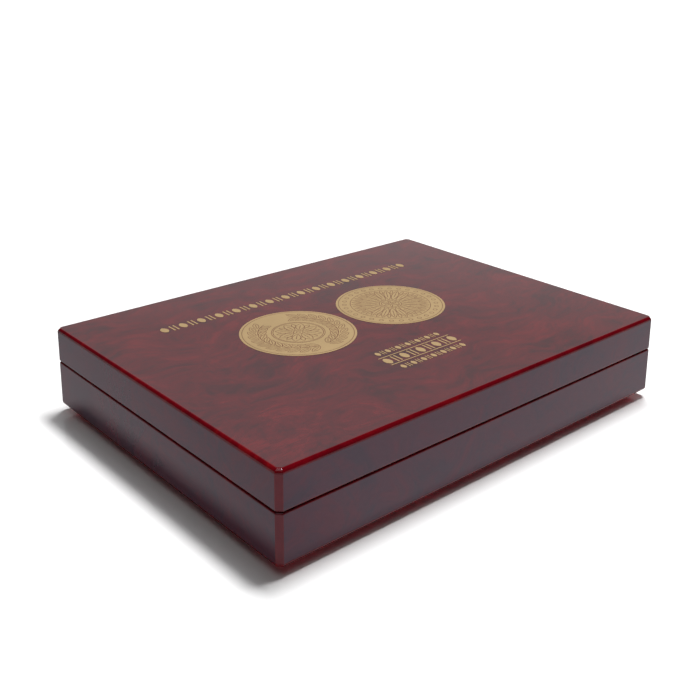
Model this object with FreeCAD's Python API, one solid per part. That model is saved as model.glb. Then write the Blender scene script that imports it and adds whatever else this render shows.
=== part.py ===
# Coin case: a lacquered wooden box with a hinged lid, a lift-out coin tray and a paper space under the tray.
# Sizes are in millimetres. +Z is up, +X runs to the right along the front, and the front faces -Y.
# The origin is on the surface that the case stands on, under the middle of its walls.

import FreeCAD
import Part
import math
import os

os.makedirs("parts", exist_ok=True)
Vector = FreeCAD.Vector

# Walls and panels
case_width = 305.0
case_depth = 230.0
base_height = 29.2
lid_height = 21.9
wall_thickness = 10.0
bottom_thickness = 4.0
bottom_rebate = 5.0
lid_panel_thickness = 6.0
rim_gap = 0.4

# Edges of the walls and panels
corner_chamfer = 2.8
top_round = 2.4
rim_round = 1.0
underside_round = 0.9

# Feet
foot_radius = 8.0
foot_height = 5.2
foot_inset = 24.0
foot_edge_round = 0.6

# Paper space and the strips round it that carry the tray
rest_width = 6.0
rest_height = 9.0
felt_thickness = 0.8
felt_clearance = 0.4

# Tray
tray_clearance = 1.0
tray_board_thickness = 2.0
tray_core_thickness = 9.0
velvet_thickness = 0.6
tray_corner_radius = 2.0
recess_radius = 17.25
recess_land_x = 12.5
recess_land_y = 6.0
recess_border = 5.5
pad_thickness = 0.6
pad_clearance = 0.25

# Lifting ribbons
ribbon_width = 10.0
ribbon_thickness = 0.4
ribbon_reach = 24.0
ribbon_rise = 1.6
ribbon_start = 1.0

# Hinges
hinge_from_side = 58.0
leaf_length = 38.0
leaf_width = 8.0
leaf_thickness = 0.9
leaf_corner_radius = 1.2
barrel_radius = 2.0
barrel_clearance = 0.3
pin_radius = 1.0
pin_clearance = 0.05
pin_head_radius = 1.6
pin_head_length = 0.8
pin_head_round = 0.4
pin_head_gap = 0.1
knuckle_count = 5
knuckle_gap = 0.15
mortise_clearance = 0.1

# Hinge screws
screw_pitch = 12.5
screw_from_axis = 5.2
screw_head_radius = 1.8
screw_shank_radius = 0.9
screw_length = 9.0
screw_slot_width = 0.5
screw_slot_depth = 0.35

# Magnets in the front rims
magnet_radius = 4.0
magnet_thickness = 3.0
magnet_clearance = 0.1
magnet_from_side = 62.5

# Lid lining
lining_clearance = 1.0
lining_board_thickness = 1.5
cushion_thickness = 7.0
cushion_inset = 1.0
cushion_corner_radius = 9.0
cushion_draw_in = 1.5

# Gold foil on the lid
foil_thickness = 0.1
foil_shift = -2.8
disc_radius = 36.4
disc_spacing = 78.0
disc_y = 11.2
band_length = 206.0
band_height = 8.0
band_y = 66.5
motif_y = -56.5
motif_width = 58.0
motif_row_height = 8.0
motif_rule_height = 0.7
motif_rule_offset = 5.4
small_row_width = 52.0
small_row_height = 5.0
small_row_offset = 10.9

# Beads and bars of the foil ornament, as shares of a row's height
bead_width_share = 0.62
bead_pitch_share = 1.66
bar_width_share = 0.13
bar_gap_share = 0.22

# Levels, from the standing surface up
walls_bottom = foot_height
panel_top = walls_bottom + bottom_thickness
tray_bottom = panel_top + rest_height
core_bottom = tray_bottom + tray_board_thickness
velvet_bottom = core_bottom + tray_core_thickness
velvet_top = velvet_bottom + velvet_thickness
base_top = walls_bottom + base_height
lid_bottom = base_top + rim_gap
lid_top = lid_bottom + lid_height
lid_walls_top = lid_top - lid_panel_thickness
lining_bottom = lid_walls_top - lining_board_thickness

# Plan sizes that follow from the walls
half_width = case_width / 2
half_depth = case_depth / 2
inner_width = case_width - 2 * wall_thickness
inner_depth = case_depth - 2 * wall_thickness
tray_width = inner_width - 2 * tray_clearance
tray_depth = inner_depth - 2 * tray_clearance
axis_y = half_depth
axis_z = base_top + rim_gap / 2
hinge_places = {"left": -(half_width - hinge_from_side), "right": half_width - hinge_from_side}


def save(shape, node):
    shape.exportStep("parts/" + node + ".step")


def block(width, depth, height, bottom, x=0.0, y=0.0):
    corner = Vector(x - width / 2, y - depth / 2, bottom)
    return Part.makeBox(width, depth, height, corner)


def prism(points, bottom, height):
    loop = [Vector(x, y, bottom) for x, y in points]
    loop.append(loop[0])
    return Part.Face(Part.makePolygon(loop)).extrude(Vector(0, 0, height))


def case_outline():
    w = half_width
    d = half_depth
    c = corner_chamfer
    return [
        (-w + c, -d), (w - c, -d), (w, -d + c), (w, d - c),
        (w - c, d), (-w + c, d), (-w, d - c), (-w, -d + c),
    ]


def round_level(shape, level, radius):
    edges = [e for e in shape.Edges if all(abs(v.Z - level) < 1e-6 for v in e.Vertexes)]
    return shape.makeFillet(radius, edges)


def round_upright(shape, radius):
    edges = [e for e in shape.Edges if abs(e.tangentAt(e.FirstParameter).z) > 0.999]
    return shape.makeFillet(radius, edges)


def group(shapes):
    return Part.makeCompound(shapes)


# Each wall keeps the part of the ring between its two mitres.
def mitred_walls(ring, bottom, height):
    spare = 1.0
    far_x = half_width + spare
    far_y = half_depth + spare
    near_x = half_width - wall_thickness - spare
    near_y = half_depth - wall_thickness - spare
    regions = {
        "front": [(-far_x, -far_y), (far_x, -far_y), (near_x, -near_y), (-near_x, -near_y)],
        "back": [(-near_x, near_y), (near_x, near_y), (far_x, far_y), (-far_x, far_y)],
        "left": [(-far_x, -far_y), (-near_x, -near_y), (-near_x, near_y), (-far_x, far_y)],
        "right": [(near_x, -near_y), (far_x, -far_y), (far_x, far_y), (near_x, near_y)],
    }
    walls = {}
    for side, region in regions.items():
        walls[side] = ring.common(prism(region, bottom - spare, height + 2 * spare))
    return walls


def base_walls():
    outside = prism(case_outline(), walls_bottom, base_height)
    outside = round_level(outside, base_top, rim_round)
    outside = round_level(outside, walls_bottom, underside_round)
    ring = outside.cut(block(inner_width, inner_depth, base_height, walls_bottom))
    rebate_width = case_width - 2 * bottom_rebate
    rebate_depth = case_depth - 2 * bottom_rebate
    ring = ring.cut(block(rebate_width, rebate_depth, bottom_thickness, walls_bottom))
    return mitred_walls(ring, walls_bottom, base_height)


def lid_walls():
    height = lid_walls_top - lid_bottom
    outside = prism(case_outline(), lid_bottom, height)
    outside = round_level(outside, lid_bottom, rim_round)
    ring = outside.cut(block(inner_width, inner_depth, height, lid_bottom))
    return mitred_walls(ring, lid_bottom, height)


def bottom_panel():
    width = case_width - 2 * bottom_rebate
    depth = case_depth - 2 * bottom_rebate
    return block(width, depth, bottom_thickness, walls_bottom)


def lid_panel():
    return round_level(prism(case_outline(), lid_walls_top, lid_panel_thickness), lid_top, top_round)


def foot(x, y):
    pad = Part.makeCylinder(foot_radius, foot_height, Vector(x, y, 0))
    return round_level(pad, 0, foot_edge_round)


# The left and right strips fit between the front and back ones.
def tray_rests():
    side_length = inner_depth - 2 * rest_width
    x = inner_width / 2 - rest_width / 2
    y = inner_depth / 2 - rest_width / 2
    return {
        "front": block(inner_width, rest_width, rest_height, panel_top, y=-y),
        "back": block(inner_width, rest_width, rest_height, panel_top, y=y),
        "left": block(rest_width, side_length, rest_height, panel_top, x=-x),
        "right": block(rest_width, side_length, rest_height, panel_top, x=x),
    }


def felt():
    inset = rest_width + felt_clearance
    return block(inner_width - 2 * inset, inner_depth - 2 * inset, felt_thickness, panel_top)


# Recesses fill the tray in even rows and columns, as many as its size takes.
pitch_x = 2 * recess_radius + recess_land_x
pitch_y = 2 * recess_radius + recess_land_y
columns = int((tray_width - 2 * recess_border + recess_land_x) // pitch_x)
rows = int((tray_depth - 2 * recess_border + recess_land_y) // pitch_y)
recess_places = []
for row in range(rows):
    for column in range(columns):
        recess_x = (column - (columns - 1) / 2) * pitch_x
        recess_y = (row - (rows - 1) / 2) * pitch_y
        recess_places.append((recess_x, recess_y))


def discs(radius, thickness, bottom):
    return [Part.makeCylinder(radius, thickness, Vector(x, y, bottom)) for x, y in recess_places]


def tray_slab(thickness, bottom):
    return round_upright(block(tray_width, tray_depth, thickness, bottom), tray_corner_radius)


def holed_slab(thickness, bottom):
    return tray_slab(thickness, bottom).cut(group(discs(recess_radius, thickness, bottom)))


# A ribbon runs up the tray's edge and along the land between two columns, and its end lifts a little.
def ribbon(side):
    edge = tray_depth / 2
    t = ribbon_thickness
    end = edge - ribbon_reach
    lifted = ribbon_reach / 2
    profile = [
        (edge, tray_bottom + ribbon_start),
        (edge + t, tray_bottom + ribbon_start),
        (edge + t, velvet_top + t),
        (end + lifted, velvet_top + t),
        (end, velvet_top + ribbon_rise + t),
        (end, velvet_top + ribbon_rise),
        (end + lifted, velvet_top),
        (edge, velvet_top),
    ]
    x = (columns % 2) * pitch_x / 2 - ribbon_width / 2
    loop = [Vector(x, side * y, z) for y, z in profile]
    loop.append(loop[0])
    return Part.Face(Part.makePolygon(loop)).extrude(Vector(ribbon_width, 0, 0))


def along_x(radius, start, length):
    return Part.makeCylinder(radius, length, Vector(start, axis_y, axis_z), Vector(1, 0, 0))


# The knuckles of the base leaf are the even ones, and those of the lid leaf the odd ones.
def knuckle_spans(x, first):
    pitch = leaf_length / knuckle_count
    start = x - leaf_length / 2 + knuckle_gap / 2
    return [(start + i * pitch, pitch - knuckle_gap) for i in range(first, knuckle_count, 2)]


def leaf_plate(x, bottom, grow):
    width = leaf_length + 2 * grow
    depth = leaf_width + grow
    plate = block(width, depth, leaf_thickness, bottom, x, axis_y - depth / 2)
    far = [e for e in plate.Edges if abs(e.tangentAt(0).z) > 0.999 and e.CenterOfMass.y < axis_y - depth / 2]
    return plate.makeFillet(leaf_corner_radius, far)


def hinge_leaf(x, bottom, first):
    room = along_x(barrel_radius + barrel_clearance, x - leaf_length / 2, leaf_length)
    leaf = leaf_plate(x, bottom, 0).cut(room)
    for start, length in knuckle_spans(x, first):
        neck_corner = Vector(start, axis_y - leaf_width / 2, bottom)
        neck = Part.makeBox(length, leaf_width / 2, leaf_thickness, neck_corner)
        leaf = leaf.fuse(neck).fuse(along_x(barrel_radius, start, length))
    leaf = leaf.cut(along_x(pin_radius + pin_clearance, x - leaf_length, 2 * leaf_length))
    return leaf.removeSplitter()


def hinge_pin(x):
    start = x - leaf_length / 2 - pin_head_gap
    length = leaf_length + 2 * pin_head_gap
    pin = along_x(pin_radius, start, length)
    for head_start, outer_end in ((start - pin_head_length, -1), (start + length, 1)):
        head = along_x(pin_head_radius, head_start, pin_head_length)
        rims = sorted((e for e in head.Edges if e.Closed), key=lambda e: outer_end * e.CenterOfMass.x)
        pin = pin.fuse(head.makeFillet(pin_head_round, rims[-1:]))
    return pin.removeSplitter()


# Room in both back walls for the barrel, its pin heads and one leaf.
def hinge_room(x, leaf_bottom):
    side = leaf_length / 2 + pin_head_gap + pin_head_length + barrel_clearance
    return along_x(barrel_radius + barrel_clearance, x - side, 2 * side).fuse(
        leaf_plate(x, leaf_bottom, mortise_clearance)
    )


def screw_blank(x, level, direction):
    place = Vector(x, axis_y - screw_from_axis, level)
    axis = Vector(0, 0, direction)
    head = Part.makeCone(screw_head_radius, screw_shank_radius, leaf_thickness, place, axis)
    return head.fuse(Part.makeCylinder(screw_shank_radius, screw_length, place, axis)).removeSplitter()


def screw(x, level, direction):
    length = 1.5 * screw_head_radius
    y = axis_y - screw_from_axis
    bottom = min(level, level + direction * screw_slot_depth)
    slots = block(length, screw_slot_width, screw_slot_depth, bottom, x, y)
    slots = slots.fuse(block(screw_slot_width, length, screw_slot_depth, bottom, x, y))
    return screw_blank(x, level, direction).cut(slots)


def screw_places():
    return [x + step * screw_pitch for x in hinge_places.values() for step in (-1, 0, 1)]


magnet_y = -(half_depth - wall_thickness / 2)
magnet_places = [-(half_width - magnet_from_side), half_width - magnet_from_side]


def magnets(bottom, grow):
    radius = magnet_radius + grow
    return [Part.makeCylinder(radius, magnet_thickness, Vector(x, magnet_y, bottom)) for x in magnet_places]


# One level of the cushion: rounded corners, and sides that draw in between them.
def cushion_wire(inset, z):
    w = inner_width / 2 - lining_clearance - cushion_inset - inset
    d = inner_depth / 2 - lining_clearance - cushion_inset - inset
    r = cushion_corner_radius
    s = cushion_draw_in
    bulge = r * (1 - math.sqrt(0.5))
    ends = [
        (w - r, -d), (w, -d + r), (w, d - r), (w - r, d),
        (-w + r, d), (-w, d - r), (-w, -d + r), (-w + r, -d),
    ]
    middles = [
        (w - bulge, -d + bulge), (w - s, 0), (w - bulge, d - bulge), (0, d - s),
        (-w + bulge, d - bulge), (-w + s, 0), (-w + bulge, -d + bulge), (0, -d + s),
    ]
    edges = []
    for i, (mx, my) in enumerate(middles):
        ax, ay = ends[i]
        bx, by = ends[(i + 1) % len(ends)]
        edges.append(Part.Arc(Vector(ax, ay, z), Vector(mx, my, z), Vector(bx, by, z)).toShape())
    return Part.Wire(edges)


# Levels of the crowned face, as shares of the thickness, with how far each is drawn in from the side.
cushion_levels = [(0.0, 1.2), (0.25, 0.0), (0.5, 0.8), (0.72, 4.0), (0.87, 11.0), (0.96, 26.0), (1.0, 50.0)]


def cushion():
    wires = []
    for share, inset in cushion_levels:
        wires.append(cushion_wire(inset, lining_bottom - share * cushion_thickness))
    return Part.makeLoft(wires, True, True)


def foil_disc(x):
    return Part.makeCylinder(disc_radius, foil_thickness, Vector(foil_shift + x, disc_y, lid_top))


# A bead is pointed at its top and bottom, between two arcs.
def bead(x, y, width, height):
    low = Vector(x, y - height / 2, lid_top)
    high = Vector(x, y + height / 2, lid_top)
    right = Part.Arc(low, Vector(x + width / 2, y, lid_top), high).toShape()
    left = Part.Arc(high, Vector(x - width / 2, y, lid_top), low).toShape()
    return Part.Face(Part.Wire([right, left])).extrude(Vector(0, 0, foil_thickness))


# A row of beads with two upright bars in each space between them, as many as its length takes.
def foil_row(y, length, height):
    bead_width = bead_width_share * height
    bar_width = bar_width_share * height
    bar_offset = (bar_width + bar_gap_share * height) / 2
    spaces = max(1, round((length - bead_width) / (bead_pitch_share * height)))
    pitch = (length - bead_width) / spaces
    pieces = []
    for i in range(spaces + 1):
        x = foil_shift + (i - spaces / 2) * pitch
        pieces.append(bead(x, y, bead_width, height))
        if i < spaces:
            for side in (-1, 1):
                bar_x = x + pitch / 2 + side * bar_offset
                pieces.append(block(bar_width, height, foil_thickness, lid_top, bar_x, y))
    return pieces


def foil_band():
    return group(foil_row(band_y, band_length, band_height))


# A row between two rules, with a smaller row above and below them.
def foil_motif():
    pieces = foil_row(motif_y, motif_width, motif_row_height)
    for side in (-1, 1):
        rule_y = motif_y + side * motif_rule_offset
        pieces.append(block(motif_width, motif_rule_height, foil_thickness, lid_top, foil_shift, rule_y))
        pieces.extend(foil_row(motif_y + side * small_row_offset, small_row_width, small_row_height))
    return group(pieces)


# Base
walls = base_walls()
base_screw_blanks = [screw_blank(x, base_top, -1) for x in screw_places()]
for x in hinge_places.values():
    walls["back"] = walls["back"].cut(hinge_room(x, base_top - leaf_thickness))
walls["back"] = walls["back"].cut(group(base_screw_blanks))
walls["front"] = walls["front"].cut(group(magnets(base_top - magnet_thickness, magnet_clearance)))
for side, wall in walls.items():
    save(wall, "base_" + side + "_wall")
save(bottom_panel(), "base_bottom_panel")
save(felt(), "base_felt")
for side, rest in tray_rests().items():
    save(rest, "tray_rest_" + side)
for end, y in (("front", -(half_depth - foot_inset)), ("back", half_depth - foot_inset)):
    for side, x in (("left", -(half_width - foot_inset)), ("right", half_width - foot_inset)):
        save(foot(x, y), "foot_" + end + "_" + side)
for side, x in hinge_places.items():
    leaf = hinge_leaf(x, base_top - leaf_thickness, 0)
    save(leaf.cut(group(base_screw_blanks)), "hinge_base_leaf_" + side)
    save(hinge_pin(x), "hinge_pin_" + side)
save(group([screw(x, base_top, -1) for x in screw_places()]), "hinge_base_screws")
save(group(magnets(base_top - magnet_thickness, 0)), "base_magnets")

# Lid
walls = lid_walls()
lid_screw_blanks = [screw_blank(x, lid_bottom, 1) for x in screw_places()]
for x in hinge_places.values():
    walls["back"] = walls["back"].cut(hinge_room(x, lid_bottom))
walls["back"] = walls["back"].cut(group(lid_screw_blanks))
walls["front"] = walls["front"].cut(group(magnets(lid_bottom, magnet_clearance)))
for side, wall in walls.items():
    save(wall, "lid_" + side + "_wall")
save(lid_panel(), "lid_top_panel")
lining_width = inner_width - 2 * lining_clearance
lining_depth = inner_depth - 2 * lining_clearance
save(block(lining_width, lining_depth, lining_board_thickness, lining_bottom), "lid_lining_board")
save(cushion(), "lid_cushion")
for side, x in hinge_places.items():
    leaf = hinge_leaf(x, lid_bottom, 1)
    save(leaf.cut(group(lid_screw_blanks)), "hinge_lid_leaf_" + side)
save(group([screw(x, lid_bottom, 1) for x in screw_places()]), "hinge_lid_screws")
save(group(magnets(lid_bottom, 0)), "lid_magnets")
save(foil_disc(-disc_spacing / 2), "foil_disc_left")
save(foil_disc(disc_spacing / 2), "foil_disc_right")
save(foil_band(), "foil_band")
save(foil_motif(), "foil_motif")

# Tray
save(tray_slab(tray_board_thickness, tray_bottom), "tray_board")
save(holed_slab(tray_core_thickness, core_bottom), "tray_core")
save(holed_slab(velvet_thickness, velvet_bottom), "tray_velvet")
save(group(discs(recess_radius - pad_clearance, pad_thickness, core_bottom)), "tray_pads")
save(ribbon(-1), "tray_ribbon_front")
save(ribbon(1), "tray_ribbon_back")
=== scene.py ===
import math

import bmesh
import bpy
from mathutils import Euler, Matrix, Vector


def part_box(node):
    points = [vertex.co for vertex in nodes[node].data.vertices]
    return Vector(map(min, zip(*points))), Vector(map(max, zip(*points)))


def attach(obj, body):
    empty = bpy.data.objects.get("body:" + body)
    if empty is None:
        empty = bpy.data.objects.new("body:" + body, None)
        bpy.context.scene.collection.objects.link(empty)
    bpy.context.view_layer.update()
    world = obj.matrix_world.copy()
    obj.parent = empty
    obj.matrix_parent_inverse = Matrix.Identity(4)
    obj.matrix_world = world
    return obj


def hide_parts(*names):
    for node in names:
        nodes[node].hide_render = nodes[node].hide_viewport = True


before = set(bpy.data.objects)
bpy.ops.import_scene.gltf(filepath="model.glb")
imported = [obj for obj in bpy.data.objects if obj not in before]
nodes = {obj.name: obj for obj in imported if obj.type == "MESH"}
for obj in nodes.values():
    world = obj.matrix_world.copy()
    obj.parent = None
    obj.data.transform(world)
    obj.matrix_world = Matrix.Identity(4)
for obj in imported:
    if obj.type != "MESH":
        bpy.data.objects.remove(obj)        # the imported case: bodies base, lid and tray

scene = bpy.context.scene
scene.view_settings.view_transform = "Standard"
mm = 0.001
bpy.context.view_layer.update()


# small helpers

def selectOnly(piece):
    if bpy.context.mode != "OBJECT":
        bpy.ops.object.mode_set(mode="OBJECT")
    bpy.ops.object.select_all(action="DESELECT")
    piece.select_set(True)
    bpy.context.view_layer.objects.active = piece


def placeInMesh(piece):  # the object ends at the origin, its place is in the mesh
    selectOnly(piece)
    bpy.ops.object.transform_apply(location=True, rotation=True, scale=True)


def named(name):
    piece = bpy.context.object
    piece.name = name
    piece.data.name = name
    return piece


def addBlock(name, low, high):
    low, high = Vector(low), Vector(high)
    bpy.ops.object.select_all(action="DESELECT")
    bpy.ops.mesh.primitive_cube_add(size=1, location=(low + high) / 2, scale=high - low)
    piece = named(name)
    placeInMesh(piece)
    return piece


def addGrid(name, columns, rows, middle, width, length):
    bpy.ops.object.select_all(action="DESELECT")
    bpy.ops.mesh.primitive_grid_add(x_subdivisions=columns, y_subdivisions=rows, size=1, location=middle)
    piece = named(name)
    piece.scale = (width, length, 1)
    placeInMesh(piece)
    return piece


def editMode(piece, kind):  # kind is VERT, EDGE or FACE, and nothing is left selected
    selectOnly(piece)
    bpy.ops.object.mode_set(mode="EDIT")
    bpy.context.tool_settings.mesh_select_mode = [kind == k for k in ("VERT", "EDGE", "FACE")]
    bpy.ops.mesh.select_all(action="DESELECT")


def objectMode():
    bpy.ops.object.mode_set(mode="OBJECT")


def pickEdges(piece, test):  # selects the edges whose two ends both pass
    mesh = bmesh.from_edit_mesh(piece.data)
    for edge in mesh.edges:
        if all(test(v.co) for v in edge.verts):
            edge.select_set(True)
    bmesh.update_edit_mesh(piece.data)


def near(a, b, reach=0.02 * mm):
    return abs(a - b) < reach


def useModifier(piece, kind, **settings):
    selectOnly(piece)
    modifier = piece.modifiers.new(kind.lower(), kind)
    for name, value in settings.items():
        setattr(modifier, name, value)
    bpy.ops.object.modifier_apply(modifier=modifier.name)


def cutWith(piece, cutters):
    for cutter in cutters:
        useModifier(piece, "BOOLEAN", operation="DIFFERENCE", solver="EXACT", object=cutter)
        bpy.data.objects.remove(cutter)


def roundEdges(piece, width, segments, degrees=60):  # every edge that turns by more than this
    limit = math.radians(degrees)
    useModifier(piece, "BEVEL", width=width, segments=segments, limit_method="ANGLE", angle_limit=limit)

def smoothFaces(piece, degrees, weighted=True):
    selectOnly(piece)
    bpy.ops.object.shade_smooth_by_angle(angle=math.radians(degrees))
    if weighted:
        useModifier(piece, "WEIGHTED_NORMAL", keep_sharp=True, weight=80)


def giveMaterials(piece, materials):
    piece.data.materials.clear()
    for material in materials:
        piece.data.materials.append(material)


def spanOf(names):  # lowest and highest corner of several nodes
    boxes = [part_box(n) for n in names]
    low = Vector([min(b[0][k] for b in boxes) for k in range(3)])
    high = Vector([max(b[1][k] for b in boxes) for k in range(3)])
    return low, high


# camera, at the photograph's place

cameraPlace = {
    "place": (-0.39449, -0.44080, 0.28922),
    "azimuth": -41.101,
    "elevation": 15.060,
    "roll": 0.446,
    "lens": 51.063,
    "shiftUp": -0.20,
}


def addCamera():
    tilt = math.radians(90 - cameraPlace["elevation"])
    turn = Euler((tilt, 0, math.radians(cameraPlace["azimuth"]))).to_matrix()
    turn = turn @ Matrix.Rotation(math.radians(cameraPlace["roll"]), 3, "Z")
    bpy.ops.object.camera_add(location=cameraPlace["place"], rotation=turn.to_euler())
    camera = bpy.context.object
    camera.data.lens = cameraPlace["lens"]
    camera.data.shift_y = cameraPlace["shiftUp"]
    camera.data.clip_start = 0.01
    scene.camera = camera


addCamera()
print("camera set")


# materials

def newTree(name):
    material = bpy.data.materials.new(name)
    material.use_nodes = True
    material.node_tree.nodes.clear()
    return material, material.node_tree


def addNode(tree, kind, inputs=None, **settings):
    made = tree.nodes.new(kind)
    for name, value in settings.items():
        setattr(made, name, value)
    for socket, value in (inputs or {}).items():
        if isinstance(value, bpy.types.NodeSocket):
            tree.links.new(value, made.inputs[socket])
        else:
            made.inputs[socket].default_value = value
    return made


def addRamp(tree, factor, stops, smooth=False):  # stops are (place, colour) or (place, grey)
    ramp = addNode(tree, "ShaderNodeValToRGB", {"Fac": factor})
    colours = ramp.color_ramp
    if smooth:
        colours.interpolation = "EASE"
    for i, (place, colour) in enumerate(stops):
        stop = colours.elements[i] if i < 2 else colours.elements.new(place)
        stop.position = place
        stop.color = (*colour, 1) if isinstance(colour, tuple) else (colour, colour, colour, 1)
    return ramp.outputs["Color"]


def objectPoints(tree, stretch=(1, 1, 1)):
    points = addNode(tree, "ShaderNodeTexCoord").outputs["Object"]
    return addNode(tree, "ShaderNodeMapping", {"Vector": points, "Scale": stretch}).outputs["Vector"]


def noise(tree, points, scale, detail=2.0, roughness=0.5):
    inputs = {"Vector": points, "Scale": scale, "Detail": detail, "Roughness": roughness}
    return addNode(tree, "ShaderNodeTexNoise", inputs)


def mixColours(tree, factor, first, second, blend="MIX"):
    mixer = addNode(tree, "ShaderNodeMix", data_type="RGBA", blend_type=blend)
    for socket, value in ((0, factor), (6, first), (7, second)):
        if isinstance(value, bpy.types.NodeSocket):
            tree.links.new(value, mixer.inputs[socket])
        else:
            mixer.inputs[socket].default_value = value if socket == 0 else (*value, 1)
    return mixer.outputs[2]


def math2(tree, operation, first, second=0.0):
    return addNode(tree, "ShaderNodeMath", {0: first, 1: second}, operation=operation).outputs[0]


def vectorMath(tree, operation, first, second):
    return addNode(tree, "ShaderNodeVectorMath", {0: first, 1: second}, operation=operation).outputs

def seenRays(tree):  # 1 for what the camera sees, also through glass
    path = addNode(tree, "ShaderNodeLightPath").outputs
    return math2(tree, "MAXIMUM", path["Is Camera Ray"], path["Is Transmission Ray"])

def bumpFrom(tree, height, distance, strength=1.0):
    inputs = {"Height": height, "Distance": distance, "Strength": strength}
    return addNode(tree, "ShaderNodeBump", inputs).outputs["Normal"]


def finishTree(material, tree, shader):
    addNode(tree, "ShaderNodeOutputMaterial", {"Surface": shader.outputs[0]})
    return material


# lacquer: red stain with a brown flamed figure under a thick clear gloss; the side, corner and edge tones are
# copies of the top's, toned for how light falls on them: painted sheen on the walls and painted light on the
# corner strips and rounded edges
lacquerLook = {
    "top": {
        "dark": (0.051, 0.0024, 0.0046),
        "red": (0.089, 0.0024, 0.0050),
        "bright": (0.127, 0.0036, 0.0060),
        "grain": 0.55,
    },
    # the walls' tones: the top's red with green and blue added, a painted lilac sheen
    "side": {
        "dark": (0.060, 0.0250, 0.0440),
        "red": (0.084, 0.0230, 0.0410),
        "bright": (0.106, 0.0210, 0.0370),
        "grain": 0.12,
    },
    # the corner strips' tones: a lighter red than the walls', painted light
    "corner": {
        "dark": (0.132, 0.0140, 0.0190),
        "red": (0.150, 0.0150, 0.0200),
        "bright": (0.168, 0.0150, 0.0190),
        "grain": 0.1,
    },
    # the rounded edges' tones: a brighter saturated red, painted light where the edges glow
    "edge": {
        "dark": (0.100, 0.0008, 0.0040),
        "red": (0.130, 0.0008, 0.0040),
        "bright": (0.180, 0.0030, 0.0050),
        "grain": 0.3,
    },
    "cloud": {"stretch": (1, 1.4, 1.4), "turn": 12, "scale": 30.0, "detail": 4, "rough": 0.6},
    "flame": {"stretch": (0.6, 3.0, 2.0), "turn": 0, "scale": 50.0, "detail": 5, "rough": 0.66},
    "stroke": {"stretch": (2.6, 0.6, 1.5), "turn": -24, "scale": 42.0, "detail": 4, "rough": 0.62},
    "fine": {"stretch": (0.4, 4.0, 3.0), "turn": 4, "scale": 135.0, "detail": 4, "rough": 0.65},
    "warp": 0.085,
    "warpScale": 13.0,
    "strokeShare": 0.5,
    "waveScale": 38.0,
    "speckScale": 900.0,
    "speckShare": 0.02,
    "hazeScale": 60.0,
    "bump": 0.03 * mm,
    "bumpStrength": 0.35,
    "glossTint": (0.93, 0.88, 1.0, 1),
    "index": 1.5,
}


def lacquer(name, tones):
    look = lacquerLook
    material, tree = newTree(name)
    warp = noise(tree, objectPoints(tree), look["warpScale"], 2.5, 0.55).outputs["Color"]
    bent = vectorMath(tree, "SUBTRACT", warp, (0.5, 0.5, 0.5))[0]
    scaled = {0: bent, "Scale": look["warp"]}
    bent = addNode(tree, "ShaderNodeVectorMath", scaled, operation="SCALE").outputs[0]

    def figure(name):  # one of the stain's bent figures
        part = look[name]
        straight = addNode(tree, "ShaderNodeTexCoord").outputs["Object"]
        moved = vectorMath(tree, "ADD", straight, bent)[0]
        where = {"Vector": moved, "Scale": part["stretch"], "Rotation": (0, 0, math.radians(part["turn"]))}
        points = addNode(tree, "ShaderNodeMapping", where).outputs["Vector"]
        return noise(tree, points, part["scale"], part["detail"], part["rough"]).outputs["Fac"]

    halves = [math2(tree, "MULTIPLY", figure(name), 0.5) for name in ("cloud", "flame")]
    stops = [(0.38, tones["dark"]), (0.50, tones["red"]), (0.62, tones["bright"])]
    stain = addRamp(tree, math2(tree, "ADD", *halves), stops, True)
    streaks = addRamp(tree, figure("fine"), [(0.34, 0.45), (0.60, 1.0)])
    stain = mixColours(tree, tones["grain"], stain, streaks, "MULTIPLY")
    strokes = addRamp(tree, figure("stroke"), [(0.32, 1.0), (0.40, 0.0)], True)
    stain = mixColours(tree, math2(tree, "MULTIPLY", strokes, look["strokeShare"]), stain, tones["dark"])
    wave = noise(tree, objectPoints(tree), look["waveScale"], 1).outputs["Fac"]
    specks = noise(tree, objectPoints(tree), look["speckScale"], 2).outputs["Fac"]
    height = math2(tree, "ADD", wave, math2(tree, "MULTIPLY", specks, look["speckShare"]))
    haze = noise(tree, objectPoints(tree), look["hazeScale"], 3).outputs["Fac"]
    gloss = addRamp(tree, haze, [(0.3, 0.030), (0.8, 0.055)])
    shader = addNode(tree, "ShaderNodeBsdfPrincipled", {
        "Base Color": stain,
        "Roughness": gloss,
        "IOR": look["index"],
        "Specular Tint": look["glossTint"],
        "Normal": bumpFrom(tree, height, look["bump"], look["bumpStrength"]),
    })
    return finishTree(material, tree, shader)


topLacquer = lacquer("topLacquer", lacquerLook["top"])
# the walls' lacquer carries a painted lilac sheen in its colour
sideLacquerPaintedSheen = lacquer("sideLacquerPaintedSheen", lacquerLook["side"])
# the corner strips' lacquer is made lighter: painted light
cornerLacquerPaintedLight = lacquer("cornerLacquerPaintedLight", lacquerLook["corner"])
# the rounded edges' lacquer is made brighter: painted light
edgeLacquerPaintedLight = lacquer("edgeLacquerPaintedLight", lacquerLook["edge"])


def undersideFlock():  # red flocking under the case
    material, tree = newTree("undersideFlock")
    patches = noise(tree, objectPoints(tree), 40.0, 4, 0.6).outputs["Fac"]
    nap = noise(tree, objectPoints(tree), 1500.0, 3, 0.7).outputs["Fac"]
    colour = addRamp(tree, patches, [(0.3, (0.58, 0.014, 0.040)), (0.7, (0.66, 0.020, 0.052))])
    colour = mixColours(tree, 0.4, colour, addRamp(tree, nap, [(0.25, 0.6), (0.75, 1.0)]), "MULTIPLY")
    shader = addNode(tree, "ShaderNodeBsdfPrincipled", {
        "Base Color": colour,
        "Roughness": 0.9,
        "Specular IOR Level": 0.15,
        "Normal": bumpFrom(tree, nap, 0.08 * mm, 0.6),
    })
    return finishTree(material, tree, shader)


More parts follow.
